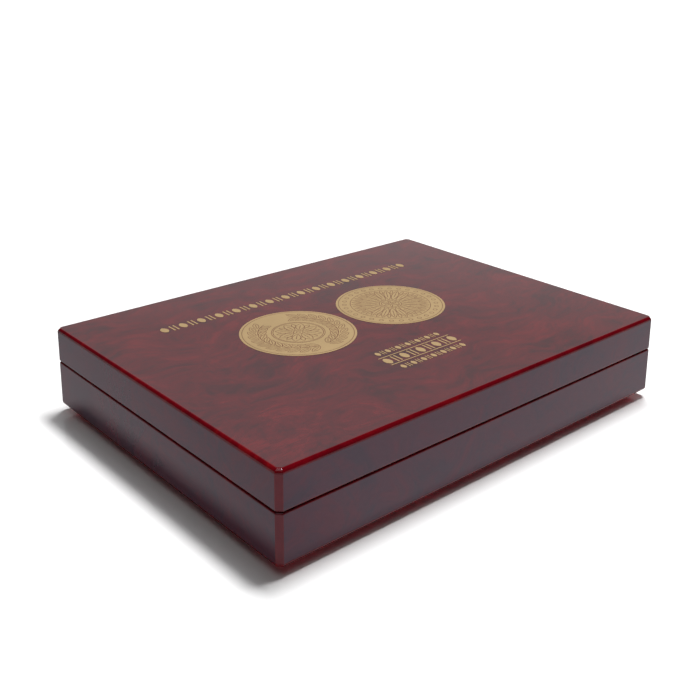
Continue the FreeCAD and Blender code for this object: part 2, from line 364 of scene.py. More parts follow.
def goldFoil(name, bright, dull, roughness):
    material, tree = newTree(name)
    patchy = noise(tree, objectPoints(tree), 35.0, 3, 0.6).outputs["Fac"]
    grain = noise(tree, objectPoints(tree), 1400.0, 2, 0.6).outputs["Fac"]
    colour = addRamp(tree, patchy, [(0.3, dull), (0.7, bright)])
    colour = mixColours(tree, 0.35, colour, addRamp(tree, grain, [(0.3, 0.86), (0.7, 1.0)]), "MULTIPLY")
    rough = addRamp(tree, grain, [(0.3, roughness - 0.05), (0.7, roughness + 0.05)])
    shader = addNode(tree, "ShaderNodeBsdfPrincipled", {
        "Base Color": colour,
        "Metallic": 0.45,
        "Roughness": rough,
        "Normal": bumpFrom(tree, grain, 0.01 * mm, 0.4),
    })
    return finishTree(material, tree, shader)


foilGold = goldFoil("foilGold", (0.480, 0.332, 0.159), (0.440, 0.302, 0.144), 0.50)
foilLine = goldFoil("foilLine", (0.150, 0.046, 0.020), (0.125, 0.038, 0.018), 0.55)


def velvet(name, deep, lit):
    material, tree = newTree(name)
    nap = noise(tree, objectPoints(tree), 1700.0, 3, 0.7).outputs["Fac"]
    brushed = noise(tree, objectPoints(tree, (1, 1.8, 1)), 30.0, 3, 0.6).outputs["Fac"]
    colour = addRamp(tree, brushed, [(0.35, deep), (0.7, lit)])
    colour = mixColours(tree, 0.5, colour, addRamp(tree, nap, [(0.25, 0.55), (0.75, 1.0)]), "MULTIPLY")
    shader = addNode(tree, "ShaderNodeBsdfPrincipled", {
        "Base Color": colour,
        "Roughness": 0.95,
        "Specular IOR Level": 0.1,
        "Sheen Weight": 0.35,
        "Sheen Roughness": 0.4,
        "Sheen Tint": (*lit, 1),
        "Normal": bumpFrom(tree, nap, 0.12 * mm, 0.7),
    })
    return finishTree(material, tree, shader)


trayFlock = velvet("trayFlock", (0.016, 0.017, 0.028), (0.040, 0.042, 0.062))
spaceFelt = velvet("spaceFelt", (0.020, 0.019, 0.022), (0.035, 0.034, 0.038))
padFelt = velvet("padFelt", (0.014, 0.014, 0.020), (0.030, 0.030, 0.042))


def satin():
    material, tree = newTree("liningSatin")
    cross = addNode(tree, "ShaderNodeTexWave", {
        "Vector": objectPoints(tree), "Scale": 900.0, "Distortion": 0.4, "Detail": 1.0,
    }, bands_direction="X").outputs["Fac"]
    along = addNode(tree, "ShaderNodeTexWave", {
        "Vector": objectPoints(tree), "Scale": 420.0, "Distortion": 0.4, "Detail": 1.0,
    }, bands_direction="Y").outputs["Fac"]
    weave = math2(tree, "ADD", math2(tree, "MULTIPLY", cross, 0.35), math2(tree, "MULTIPLY", along, 0.65))
    tone = noise(tree, objectPoints(tree), 12.0, 2).outputs["Fac"]
    colour = addRamp(tree, tone, [(0.3, (0.74, 0.69, 0.57)), (0.7, (0.81, 0.77, 0.66))])
    colour = mixColours(tree, 0.25, colour, addRamp(tree, weave, [(0.2, 0.78), (0.8, 1.0)]), "MULTIPLY")
    shader = addNode(tree, "ShaderNodeBsdfPrincipled", {
        "Base Color": colour,
        "Roughness": 0.36,
        "Sheen Weight": 0.3,
        "Sheen Roughness": 0.35,
        "Normal": bumpFrom(tree, weave, 0.03 * mm, 0.5),
    })
    return finishTree(material, tree, shader)


def ribbonSatin():
    material, tree = newTree("ribbonSatin")
    ribs = addNode(tree, "ShaderNodeTexWave", {
        "Vector": objectPoints(tree), "Scale": 700.0, "Distortion": 0.3, "Detail": 1.0,
    }, bands_direction="Y").outputs["Fac"]
    colour = addRamp(tree, ribs, [(0.2, (0.36, 0.015, 0.022)), (0.8, (0.50, 0.030, 0.040))])
    shader = addNode(tree, "ShaderNodeBsdfPrincipled", {
        "Base Color": colour,
        "Roughness": 0.38,
        "Sheen Weight": 0.3,
        "Normal": bumpFrom(tree, ribs, 0.05 * mm, 0.6),
    })
    return finishTree(material, tree, shader)


def fibreboard(name, light, dark):
    material, tree = newTree(name)
    fibres = noise(tree, objectPoints(tree, (1, 1, 2.5)), 700.0, 4, 0.7).outputs["Fac"]
    colour = addRamp(tree, fibres, [(0.3, dark), (0.7, light)])
    shader = addNode(tree, "ShaderNodeBsdfPrincipled", {
        "Base Color": colour,
        "Roughness": 0.85,
        "Normal": bumpFrom(tree, fibres, 0.05 * mm, 0.6),
    })
    return finishTree(material, tree, shader)


def metal(name, bright, dull, roughness, brushed=(1, 1, 1)):
    material, tree = newTree(name)
    lines = noise(tree, objectPoints(tree, brushed), 900.0, 3, 0.6).outputs["Fac"]
    tarnish = noise(tree, objectPoints(tree), 220.0, 4, 0.65).outputs["Fac"]
    colour = addRamp(tree, tarnish, [(0.35, dull), (0.65, bright)])
    rough = addRamp(tree, lines, [(0.3, roughness - 0.01), (0.7, roughness + 0.02)])
    shader = addNode(tree, "ShaderNodeBsdfPrincipled", {
        "Base Color": colour,
        "Metallic": 1.0,
        "Roughness": rough,
        "Normal": bumpFrom(tree, lines, 0.002 * mm, 0.3),
    })
    return finishTree(material, tree, shader)


def rubber():
    material, tree = newTree("footRubber")
    grain = noise(tree, objectPoints(tree), 1500.0, 3, 0.6).outputs["Fac"]
    colour = addRamp(tree, grain, [(0.3, (0.020, 0.016, 0.016)), (0.7, (0.034, 0.027, 0.026))])
    shader = addNode(tree, "ShaderNodeBsdfPrincipled", {
        "Base Color": colour,
        "Roughness": 0.72,
        "Normal": bumpFrom(tree, grain, 0.05 * mm, 0.6),
    })
    return finishTree(material, tree, shader)


underside = undersideFlock()
liningSatin = satin()
redRibbon = ribbonSatin()
board = fibreboard("fibreBoard", (0.30, 0.205, 0.125), (0.22, 0.145, 0.085))
brass = metal("hingeBrass", (0.86, 0.64, 0.30), (0.82, 0.60, 0.275), 0.30, (0.2, 3, 3))
screwBrass = metal("screwBrass", (0.84, 0.63, 0.31), (0.76, 0.55, 0.26), 0.28)
nickel = metal("magnetNickel", (0.68, 0.67, 0.64), (0.65, 0.64, 0.615), 0.30)
footRubber = rubber()
print("materials made")


# lid and base: lacquered shells

shellShape = {
    "wall": 10.0 * mm,
    "chamfer": 2.8 * mm,
    "uprightRound": 0.55 * mm,
    "topRound": 2.4 * mm,
    "rimRound": 1.0 * mm,
    "bottomRound": 2.4 * mm,
    "innerRound": 0.4 * mm,
    "innerSteps": 3,
    "roundSteps": 8,
    "roundReach": 2.45 * mm,
    "cutterSides": 48,
    "clearance": 0.1 * mm,
    "barrelRoom": 2.3 * mm,
    "pinEndRoom": 0.3 * mm,
    "leafThick": 0.9 * mm,
    "overrun": 1.0 * mm,
    "magnetSpare": 0.01 * mm,
    "rimReach": 0.1 * mm,
    "flatArea": 0.002,        # square metres
    "flatBorder": 0.4 * mm,
    "level": 0.999,           # the least z of a level face's normal
    "upright": 0.05,          # the most z of an upright face's normal
    "slant": 0.9,             # a corner strip's normal lies between x and y
}
sideSlot, topSlot, cornerSlot, edgeSlot, undersideSlot = range(5)
lidWalls = ["lid_front_wall", "lid_back_wall", "lid_left_wall", "lid_right_wall"]
baseWalls = ["base_front_wall", "base_back_wall", "base_left_wall", "base_right_wall"]


def onOutline(c, high):  # true on the outer walls, their corner strips and their rounded edges
    reach = shellShape["roundReach"]
    outX, outY = high.x - abs(c.x), high.y - abs(c.y)
    return outX < reach or outY < reach or outX + outY < shellShape["chamfer"] + 2 * reach


def insideRim(co, inner):  # on the cavity's edge
    reach = shellShape["rimReach"]
    onX = near(abs(co.x), inner.x) and abs(co.y) < inner.y + reach
    onY = near(abs(co.y), inner.y) and abs(co.x) < inner.x + reach
    return onX or onY

def bevelInnerRim(shell, inner, rim):
    editMode(shell, "EDGE")
    pickEdges(shell, lambda co: near(co.z, rim) and insideRim(co, inner))
    bpy.ops.mesh.bevel(offset=shellShape["innerRound"], segments=shellShape["innerSteps"], affect="EDGES")
    objectMode()


def outlinePoints(high, inset):  # the four walls and the corner strips, with softened corners
    leg = shellShape["chamfer"] - inset * (2 - math.sqrt(2))
    x, y = high.x - inset, high.y - inset
    places = ((x, y - leg), (x - leg, y), (leg - x, y), (-x, y - leg))
    corners = [Vector(place) for place in places]
    corners += [-corner for corner in corners]
    soft = shellShape["uprightRound"] * math.tan(math.radians(22.5))
    points = []
    for i, corner in enumerate(corners):
        before = (corners[i - 1] - corner).normalized() * soft
        after = (corners[(i + 1) % len(corners)] - corner).normalized() * soft
        points += [corner + before, corner + (before + after) / 4, corner + after]
    return points


def roundedCase(name, low, high, topWidth, bottomWidth):  # rings of points, from the underside up
    steps = shellShape["roundSteps"]
    turns = [math.pi / 2 * i / steps for i in range(steps + 1)]
    levels = [(low.z + bottomWidth * (1 - math.cos(t)), bottomWidth * (1 - math.sin(t))) for t in turns]
    levels += [(high.z - topWidth * (1 - math.cos(t)), topWidth * (1 - math.sin(t))) for t in reversed(turns)]
    mesh = bmesh.new()
    rings = [[mesh.verts.new((*point, z)) for point in outlinePoints(high, inset)] for z, inset in levels]
    for lower, upper in zip(rings, rings[1:]):
        for i in range(len(lower)):
            mesh.faces.new((lower[i - 1], lower[i], upper[i], upper[i - 1]))
    mesh.faces.new(rings[0][::-1])
    mesh.faces.new(rings[-1])
    data = bpy.data.meshes.new(name)
    mesh.to_mesh(data)
    mesh.free()
    shell = bpy.data.objects.new(name, data)
    scene.collection.objects.link(shell)
    return shell


def cylinderCutter(radius, low, high):  # between two points on one axis
    low, high = Vector(low), Vector(high)
    axis, middle = high - low, (low + high) / 2
    sides = shellShape["cutterSides"]
    bpy.ops.object.select_all(action="DESELECT")
    bpy.ops.mesh.primitive_cylinder_add(vertices=sides, radius=radius, depth=axis.length, location=middle)
    cutter = bpy.context.object
    cutter.rotation_euler = axis.to_track_quat("Z", "Y").to_euler()
    placeInMesh(cutter)
    return cutter


def hingeCutters(leafNode, pinNode, bottom, top, backFace):  # the barrel's groove and the leaf's mortise
    leafLow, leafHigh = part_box(leafNode)
    pinLow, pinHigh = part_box(pinNode)
    room = shellShape["clearance"]
    ends = shellShape["pinEndRoom"]
    y, z = (pinLow.y + pinHigh.y) / 2, (pinLow.z + pinHigh.z) / 2
    groove = cylinderCutter(shellShape["barrelRoom"], (pinLow.x - ends, y, z), (pinHigh.x + ends, y, z))
    mortiseLow = (leafLow.x - room, leafLow.y - room, bottom)
    mortise = addBlock("mortise", mortiseLow, (leafHigh.x + room, backFace, top))
    return [groove, mortise]


def magnetCutters(node):
    low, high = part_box(node)
    radius = (high.y - low.y) / 2
    spare = shellShape["magnetSpare"]
    y = (low.y + high.y) / 2
    found = []
    for side in (-1, 1):
        x = side * (high.x - radius)
        ends = (x, y, low.z - spare), (x, y, high.z + spare)
        found.append(cylinderCutter(radius + shellShape["clearance"], *ends))
    return found


def insetFlats(shell, rim):  # a thin border round each large face but the rim's keeps its shading flat
    editMode(shell, "FACE")
    mesh = bmesh.from_edit_mesh(shell.data)
    for face in mesh.faces:
        if face.calc_area() > shellShape["flatArea"] and not near(face.calc_center_median().z, rim):
            face.select_set(True)
    bmesh.update_edit_mesh(shell.data)
    bpy.ops.mesh.inset(thickness=shellShape["flatBorder"], use_individual=True)
    objectMode()


def shellMaterials(shell, low, high, upperSlot):  # upperSlot is for the face that looks up
    giveMaterials(shell, [sideLacquerPaintedSheen, topLacquer, cornerLacquerPaintedLight, edgeLacquerPaintedLight, underside])
    level, upright = shellShape["level"], shellShape["upright"]
    for face in shell.data.polygons:
        n, c = face.normal, face.center
        outside = onOutline(c, high)
        slanting = abs(abs(n.x) - abs(n.y)) < shellShape["slant"]
        if n.z > level and near(c.z, high.z):
            face.material_index = upperSlot
        elif n.z < -level and near(c.z, low.z) and upperSlot == sideSlot:
            face.material_index = undersideSlot
        elif outside and abs(n.z) < upright and slanting:
            face.material_index = cornerSlot
        elif outside and upright < abs(n.z) < level:
            face.material_index = edgeSlot


def makeLidShell():
    shape = shellShape
    low, high = spanOf(lidWalls + ["lid_top_panel"])
    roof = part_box("lid_top_panel")[0].z
    shell = roundedCase("lidShell", low, high, shape["topRound"], shape["rimRound"])
    inner = high - Vector((shape["wall"], shape["wall"], 0))
    below, behind = low.z - shape["overrun"], high.y + shape["overrun"]
    cutters = [addBlock("cavity", (-inner.x, -inner.y, below), (inner.x, inner.y, roof))]
    cutters += magnetCutters("lid_magnets")
    for side in ("left", "right"):
        leaf, pin = "hinge_lid_leaf_" + side, "hinge_pin_" + side
        cutters += hingeCutters(leaf, pin, below, low.z + shape["leafThick"], behind)
    cutWith(shell, cutters)
    bevelInnerRim(shell, inner, low.z)
    insetFlats(shell, low.z)
    shellMaterials(shell, low, high, topSlot)
    smoothFaces(shell, 40)
    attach(shell, "lid")
    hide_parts("lid_top_panel", *lidWalls)



def makeBaseShell():
    shape = shellShape
    low, high = spanOf(baseWalls)
    panelLow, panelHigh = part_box("base_bottom_panel")
    shell = roundedCase("baseShell", low, high, shape["rimRound"], shape["bottomRound"])
    inner = high - Vector((shape["wall"], shape["wall"], 0))
    below, above, behind = low.z - shape["overrun"], high.z + shape["overrun"], high.y + shape["overrun"]
    cutters = [
        addBlock("cavity", (-inner.x, -inner.y, below), (inner.x, inner.y, above)),
        addBlock("rebate", (panelLow.x, panelLow.y, below), (panelHigh.x, panelHigh.y, panelHigh.z)),
    ]
    cutters += magnetCutters("base_magnets")
    for side in ("left", "right"):
        leaf, pin = "hinge_base_leaf_" + side, "hinge_pin_" + side
        cutters += hingeCutters(leaf, pin, high.z - shape["leafThick"], above, behind)
    cutWith(shell, cutters)
    bevelInnerRim(shell, inner, high.z)
    insetFlats(shell, high.z)
    shellMaterials(shell, low, high, sideSlot)
    smoothFaces(shell, 40)
    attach(shell, "base")
    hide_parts(*baseWalls)


makeLidShell()
makeBaseShell()
print("shells made")


# tray: a flocked sheet formed into round recesses, with a pad in each

trayShape = {
    "columns": 6,
    "rows": 5,
    "pitchX": 47.0 * mm,
    "pitchY": 40.5 * mm,
    "recessRadius": 17.25 * mm,
    "ringCells": 16,          # a cell's outline and its recess have four times as many edges
    "sheetThick": 0.35 * mm,
    "lipRound": 1.2 * mm,
    "floorRound": 0.8 * mm,
    "cornerRound": 2.0 * mm,
    "rimRound": 1.1 * mm,
    "padRadius": 16.2 * mm,
    "padThick": 0.7 * mm,
    "padRound": 0.3 * mm,
    "padSides": 64,
}


def firstRecess():
    shape = trayShape
    x = -(shape["columns"] - 1) / 2 * shape["pitchX"]
    y = -(shape["rows"] - 1) / 2 * shape["pitchY"]
    return x, y


def arrayRecesses(piece, merge):
    shape = trayShape
    columns = (shape["columns"], (shape["pitchX"], 0, 0))
    rows = (shape["rows"], (0, shape["pitchY"], 0))
    for count, offset in (columns, rows):
        useModifier(
            piece, "ARRAY", count=count, use_relative_offset=False, use_constant_offset=True,
            constant_offset_displace=offset, use_merge_vertices=merge, merge_threshold=0.01 * mm,
        )


def makeCell(level, depth):  # one square of the tray with its round recess
    shape = trayShape
    x, y = firstRecess()
    cells = shape["ringCells"]
    cell = addGrid("trayInsert", cells, cells, (x, y, level), shape["pitchX"], shape["pitchY"])
    editMode(cell, "FACE")
    bpy.ops.mesh.select_all(action="SELECT")
    bpy.ops.mesh.region_to_loop()
    bpy.ops.mesh.select_all(action="INVERT")
    bpy.ops.mesh.delete(type="EDGE_FACE")
    bpy.ops.mesh.select_all(action="SELECT")
    bpy.ops.mesh.delete_loose(use_verts=True, use_edges=False, use_faces=False)
    objectMode()
    bpy.ops.object.select_all(action="DESELECT")
    sides, radius = 4 * cells, shape["recessRadius"]
    bpy.ops.mesh.primitive_circle_add(vertices=sides, radius=radius, location=(x, y, level))
    ring = bpy.context.object
    placeInMesh(ring)
    cell.select_set(True)
    bpy.context.view_layer.objects.active = cell
    bpy.ops.object.join()
    editMode(cell, "EDGE")
    bpy.ops.mesh.select_all(action="SELECT")
    bpy.ops.mesh.bridge_edge_loops()
    bpy.ops.mesh.select_all(action="DESELECT")
    centre = Vector((x, y))

    def onRing(co):
        return near((co.xy - centre).length, shape["recessRadius"])

    pickEdges(cell, onRing)
    bpy.ops.mesh.extrude_region_move(TRANSFORM_OT_translate={"value": (0, 0, -depth)})
    bpy.ops.mesh.edge_face_add()
    bpy.ops.mesh.select_all(action="DESELECT")
    pickEdges(cell, lambda co: onRing(co) and near(co.z, level))
    bpy.ops.mesh.bevel(offset=shape["lipRound"], segments=4, affect="EDGES")
    bpy.ops.mesh.select_all(action="DESELECT")
    pickEdges(cell, lambda co: near(co.z, level - depth))
    bpy.ops.mesh.bevel(offset=shape["floorRound"], segments=3, affect="EDGES")
    objectMode()
    return cell


def pullOutline(piece, low, high):  # the cells' outline is moved out to the tray's own
    x = trayShape["columns"] / 2 * trayShape["pitchX"]
    y = trayShape["rows"] / 2 * trayShape["pitchY"]
    for axis, place, target in ((0, -x, low.x), (0, x, high.x), (1, -y, low.y), (1, y, high.y)):
        editMode(piece, "EDGE")
        pickEdges(piece, lambda co: near(co[axis], place))
        move = Vector((0, 0, 0))
        move[axis] = target - place
        bpy.ops.transform.translate(value=move)
        objectMode()


def makeTrayInsert():
    shape = trayShape
    low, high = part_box("tray_velvet")
    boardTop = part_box("tray_board")[1].z
    piece = makeCell(high.z, high.z - boardTop - shape["sheetThick"])
    arrayRecesses(piece, True)
    pullOutline(piece, low, high)

    def onOutside(co):
        return near(abs(co.x), high.x) or near(abs(co.y), high.y)

    editMode(piece, "EDGE")
    pickEdges(piece, lambda co: onOutside(co) and near(co.z, high.z))
    bpy.ops.mesh.extrude_region_move(TRANSFORM_OT_translate={"value": (0, 0, boardTop - high.z)})
    objectMode()
    editMode(piece, "EDGE")
    pickEdges(piece, lambda co: near(abs(co.x), high.x) and near(abs(co.y), high.y))
    bpy.ops.mesh.bevel(offset=shape["cornerRound"], segments=4, affect="EDGES")
    bpy.ops.mesh.select_all(action="SELECT")
    bpy.ops.mesh.normals_make_consistent(inside=False)
    objectMode()
    roundEdges(piece, shape["rimRound"], 3)
    useModifier(piece, "SOLIDIFY", thickness=shape["sheetThick"], offset=-1)
    giveMaterials(piece, [trayFlock])
    smoothFaces(piece, 50)
    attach(piece, "tray")
    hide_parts("tray_core", "tray_velvet")


def makeRecessPads():
    shape = trayShape
    x, y = firstRecess()
    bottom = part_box("tray_board")[1].z + shape["sheetThick"]
    middle = (x, y, bottom + shape["padThick"] / 2)
    bpy.ops.object.select_all(action="DESELECT")
    bpy.ops.mesh.primitive_cylinder_add(
        vertices=shape["padSides"], radius=shape["padRadius"], depth=shape["padThick"],
        location=middle, end_fill_type="TRIFAN",
    )
    pads = named("recessPads")
    placeInMesh(pads)
    roundEdges(pads, shape["padRound"], 3)
    arrayRecesses(pads, False)
    giveMaterials(pads, [padFelt])
    smoothFaces(pads, 50)
    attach(pads, "tray")
    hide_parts("tray_pads")


makeTrayInsert()
makeRecessPads()
print("tray insert made")


# felt on the floor of the paper space

feltShape = {
    "cell": 3.0 * mm,
    "cornerRound": 4.0 * mm,
    "lift": 0.35 * mm,
    "liftScale": 0.06,
    "edgeRound": 0.25 * mm,
}


def makeFelt():
    low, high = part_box("base_felt")
    size = high - low
    columns, rows = round(size.x / feltShape["cell"]), round(size.y / feltShape["cell"])
    sheet = addGrid("feltSheet", columns, rows, (0, 0, low.z), size.x, size.y)
    unevenness = bpy.data.textures.new("feltWaves", "CLOUDS")
    unevenness.noise_scale = feltShape["liftScale"]
    lift = feltShape["lift"]
    useModifier(sheet, "DISPLACE", texture=unevenness, direction="Z", mid_level=0.0, strength=lift)
    useModifier(sheet, "SOLIDIFY", thickness=size.z, offset=1)
    roundEdges(sheet, feltShape["edgeRound"], 2)
    giveMaterials(sheet, [spaceFelt])
    smoothFaces(sheet, 50)
    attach(sheet, "base")
    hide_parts("base_felt")


makeFelt()
print("felt made")


# lifting ribbons, glued to the tray's long edges and loose on its top

ribbonShape = {
    "thick": 0.35 * mm,
    "bend": 1.4 * mm,
    "bendSteps": 6,
    "tailSteps": 16,
    "tailLift": 1.5 * mm,
    "across": 6,
    "notch": 3.0 * mm,
    "notchReach": 8.0 * mm,
}


def ribbonPath(low, high, edge, top):  # (distance from the middle, height) along the ribbon's inner face
    shape = ribbonShape
    outside = edge + shape["thick"] / 2
    start = low.z
    over = top + shape["thick"] / 2 + 0.05 * mm
    bend = shape["bend"]
    points = [(outside, start), (outside, (start + over - bend) / 2), (outside, over - bend)]
    for i in range(1, shape["bendSteps"] + 1):
        turn = math.pi / 2 * i / shape["bendSteps"]
        points.append((outside - bend + bend * math.cos(turn), over - bend + bend * math.sin(turn)))
    inner = min(abs(low.y), abs(high.y))
    tail = outside - bend - inner
    for i in range(1, shape["tailSteps"] + 1):
        share = i / shape["tailSteps"]
        rise = shape["tailLift"] * max(0, share - 0.35) ** 2 / 0.65 ** 2
        points.append((outside - bend - tail * share, over + rise))
    return points


def makeRibbon(end, side):
    node = "tray_ribbon_" + end
    low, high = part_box(node)
    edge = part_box("tray_velvet")[1].y
    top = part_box("tray_velvet")[1].z
    points = [Vector((0, side * y, z)) for y, z in ribbonPath(low, high, edge, top)]
    width = high.x - low.x
    middle = (low.x + high.x) / 2
    ribbon = addGrid("ribbon" + end.capitalize(), ribbonShape["across"], 1, (0, 0, 0), width, mm)
    editMode(ribbon, "VERT")
    bpy.ops.mesh.select_all(action="SELECT")
    bpy.ops.transform.resize(value=(1, 0, 1))
    bpy.ops.mesh.remove_doubles(threshold=0.01 * mm)
    bpy.ops.transform.translate(value=points[0] + Vector((middle, 0, 0)))
    objectMode()
    editMode(ribbon, "EDGE")
    bpy.ops.mesh.select_all(action="SELECT")
    for first, second in zip(points, points[1:]):
        bpy.ops.mesh.extrude_region_move(TRANSFORM_OT_translate={"value": second - first})
    bpy.ops.mesh.select_all(action="SELECT")
    bpy.ops.mesh.normals_make_consistent(inside=False)
    objectMode()
    for vertex in ribbon.data.vertices:  # the free end is cut to a swallowtail
        reach = max(0, 1 - abs(vertex.co.y - points[-1].y) / ribbonShape["notchReach"])
        vertex.co.y += side * ribbonShape["notch"] * reach * (1 - abs(vertex.co.x - middle) / (width / 2))
    useModifier(ribbon, "SOLIDIFY", thickness=ribbonShape["thick"], offset=0)
    giveMaterials(ribbon, [redRibbon])
    smoothFaces(ribbon, 50)
    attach(ribbon, "tray")
    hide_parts(node)


makeRibbon("front", -1)
makeRibbon("back", 1)
print("ribbons made")


# lid cushion: satin over foam, glued to the lining board and swollen by a cloth simulation

cushionShape = {
    "startInset": 2.0 * mm,
    "startThick": 4.6 * mm,
    "cornerRound": 9.0 * mm,
    "voxel": 3.0 * mm,
    "pressure": 4.0,
    "slack": -0.012,
    "frames": 20,
    "spare": 0.15 * mm,
    "capSlope": 1.25,
    "glueReach": 0.3 * mm,
    "cornerSteps": 6,
}


def swell(cushion):
    selectOnly(cushion)
    cushion.modifiers.new("swell", "CLOTH")
    cloth = cushion.modifiers["swell"]
    settings = cloth.settings
    settings.quality = 5
    settings.use_pressure = True
    settings.uniform_pressure_force = cushionShape["pressure"]
    settings.shrink_min = cushionShape["slack"]
    settings.vertex_group_mass = "glued"
    settings.effector_weights.gravity = 0
    cloth.collision_settings.use_collision = False
    cloth.point_cache.frame_end = cushionShape["frames"]
    for frameNumber in range(1, cushionShape["frames"] + 1):
        scene.frame_set(frameNumber)
    bpy.ops.object.modifier_apply(modifier="swell")
    scene.frame_set(1)


def fitCushion(cushion, low, high):  # what has swollen is capped softly at the space for it
    room = high.z - low.z - cushionShape["spare"]
    middle = (low + high) / 2
    half = (high - low) / 2
    for vertex in cushion.data.vertices:
        drop = max(0, high.z - vertex.co.z)
        vertex.co.z = high.z - room * math.tanh(drop / room * cushionShape["capSlope"])
        for axis in (0, 1):
            out = vertex.co[axis] - middle[axis]
            vertex.co[axis] = middle[axis] + max(-half[axis], min(half[axis], out))


def makeCushion():
    shape = cushionShape
    low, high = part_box("lid_cushion")
    inset = shape["startInset"]
    bottom = high.z - shape["startThick"]
    first = (low.x + inset, low.y + inset, bottom)
    cushion = addBlock("lidCushion", first, (high.x - inset, high.y - inset, high.z))
    editMode(cushion, "EDGE")
    mesh = bmesh.from_edit_mesh(cushion.data)
    for edge in mesh.edges:
        if not near(edge.verts[0].co.z, edge.verts[1].co.z):
            edge.select_set(True)
    bmesh.update_edit_mesh(cushion.data)
    bpy.ops.mesh.bevel(offset=shape["cornerRound"] - inset, segments=shape["cornerSteps"], affect="EDGES")
    objectMode()
    useModifier(cushion, "REMESH", mode="VOXEL", voxel_size=shape["voxel"])
    glued = cushion.vertex_groups.new(name="glued")
    top = max(v.co.z for v in cushion.data.vertices)
    held = [v.index for v in cushion.data.vertices if near(v.co.z, top, shape["glueReach"])]
    glued.add(held, 1.0, "REPLACE")
    swell(cushion)
    fitCushion(cushion, low, high)
    useModifier(cushion, "SUBSURF", levels=1)
    giveMaterials(cushion, [liningSatin])
    smoothFaces(cushion, 180, False)
    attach(cushion, "lid")
    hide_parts("lid_cushion")


makeCushion()
print("cushion made")


# line ornament on the foil discs, drawn as thin raised strokes

strokeLook = {
    "width": 0.38 * mm,
    "height": 0.03 * mm,
    "ringPoints": 96,
    "arcPoints": 8,
}


def around(radius, degrees, turn=0.0):
    angle = math.radians(degrees + turn)
    return Vector((radius * math.cos(angle), radius * math.sin(angle)))


def ringStroke(radius, centre=Vector((0, 0)), points=0):
    count = points or strokeLook["ringPoints"]
    return [centre + around(radius, 360 * i / count) for i in range(count)], True


def leafStroke(centre, length, width, degrees):  # two arcs that meet in a point at both ends
    count = strokeLook["arcPoints"]
    outline = []
    for side in (1, -1):
        for i in range(count):
            t = 2 * i / count - 1
            along = side * t * length / 2
            across = side * width / 2 * (1 - t * t)
            outline.append(Vector((along, across)))
    turn = Matrix.Rotation(math.radians(degrees), 2)
    return [centre + turn @ point for point in outline], True


def veinStroke(centre, length, degrees):
    half = around(length / 2, degrees)
    return [centre - half, centre + half], False


def arcStroke(radius, start, end):
    count = 24
    return [around(radius, start + (end - start) * i / count) for i in range(count + 1)], False


def wreathStrokes():  # a laurel wreath round a rosette
    strokes = [ringStroke(34.7 * mm), ringStroke(16.6 * mm), ringStroke(15.6 * mm)]
    for side in (-1, 1):
        strokes.append(arcStroke(25 * mm, -90 + side * 8, -90 + side * 158))
        for i in range(11):
            degrees = -90 + side * (16 + 13.4 * i)
            tangent = degrees + side * 90
            for lean, radius in ((34, 22.2 * mm), (-34, 28.6 * mm)):
                centre = around(radius, degrees)
                strokes.append(leafStroke(centre, 9.0 * mm, 3.7 * mm, tangent + side * lean))
                strokes.append(veinStroke(centre, 5.6 * mm, tangent + side * lean))
    for i in range(8):
        strokes.append(leafStroke(around(9.0 * mm, 45 * i), 11.0 * mm, 5.4 * mm, 45 * i))
        strokes.append(veinStroke(around(8.2 * mm, 45 * i), 6.0 * mm, 45 * i))
        strokes.append(leafStroke(around(10.8 * mm, 45 * i, 22.5), 6.0 * mm, 2.6 * mm, 45 * i + 22.5))
    strokes.append(ringStroke(3.0 * mm, points=32))
    strokes.append(ringStroke(1.3 * mm, points=20))
    return strokes


def sunStrokes():  # a sun of long petals inside a ring of small circles
    strokes = [ringStroke(34.7 * mm), ringStroke(26.8 * mm)]
    strokes += [ringStroke(7.4 * mm, points=48), ringStroke(5.9 * mm, points=48)]
    for i in range(20):
        strokes.append(leafStroke(around(16.9 * mm, 18 * i), 18.4 * mm, 4.4 * mm, 18 * i))
        strokes.append(veinStroke(around(18.4 * mm, 18 * i), 11.0 * mm, 18 * i))
        strokes.append(leafStroke(around(22.6 * mm, 18 * i, 9), 6.6 * mm, 2.0 * mm, 18 * i + 9))
    for i in range(30):
        strokes.append(ringStroke(1.35 * mm, around(30.8 * mm, 12 * i), points=16))
    for i in range(6):
        strokes.append(leafStroke(around(3.1 * mm, 60 * i), 4.4 * mm, 1.7 * mm, 60 * i))
    return strokes


def drawStrokes(name, node, strokes):
    low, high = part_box(node)
    centre = (low + high) / 2
    curve = bpy.data.curves.new(name, "CURVE")
    curve.dimensions = "3D"
    curve.bevel_depth = strokeLook["width"] / 2
    curve.bevel_resolution = 0
    curve.use_fill_caps = True
    for points, closed in strokes:
        spline = curve.splines.new("POLY")
        spline.points.add(len(points) - 1)
        spline.use_cyclic_u = closed
        for made, point in zip(spline.points, points):
            made.co = (point.x, point.y, 0, 1)
    drawing = bpy.data.objects.new(name, curve)
    scene.collection.objects.link(drawing)
    selectOnly(drawing)
    bpy.ops.object.convert(target="MESH")
    drawing = named(name)
    drawing.scale = (1, 1, strokeLook["height"] / strokeLook["width"])
    drawing.location = (centre.x, centre.y, high.z + strokeLook["height"] / 4)
    placeInMesh(drawing)
    editMode(drawing, "VERT")
    bpy.ops.mesh.select_all(action="SELECT")
    bpy.ops.mesh.remove_doubles(threshold=0.001 * mm)
    objectMode()
    giveMaterials(drawing, [foilLine])
    smoothFaces(drawing, 60, False)
    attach(drawing, "lid")


drawStrokes("wreathLines", "foil_disc_left", wreathStrokes())
drawStrokes("sunLines", "foil_disc_right", sunStrokes())
print("ornament drawn")


# finish on the nodes that stay

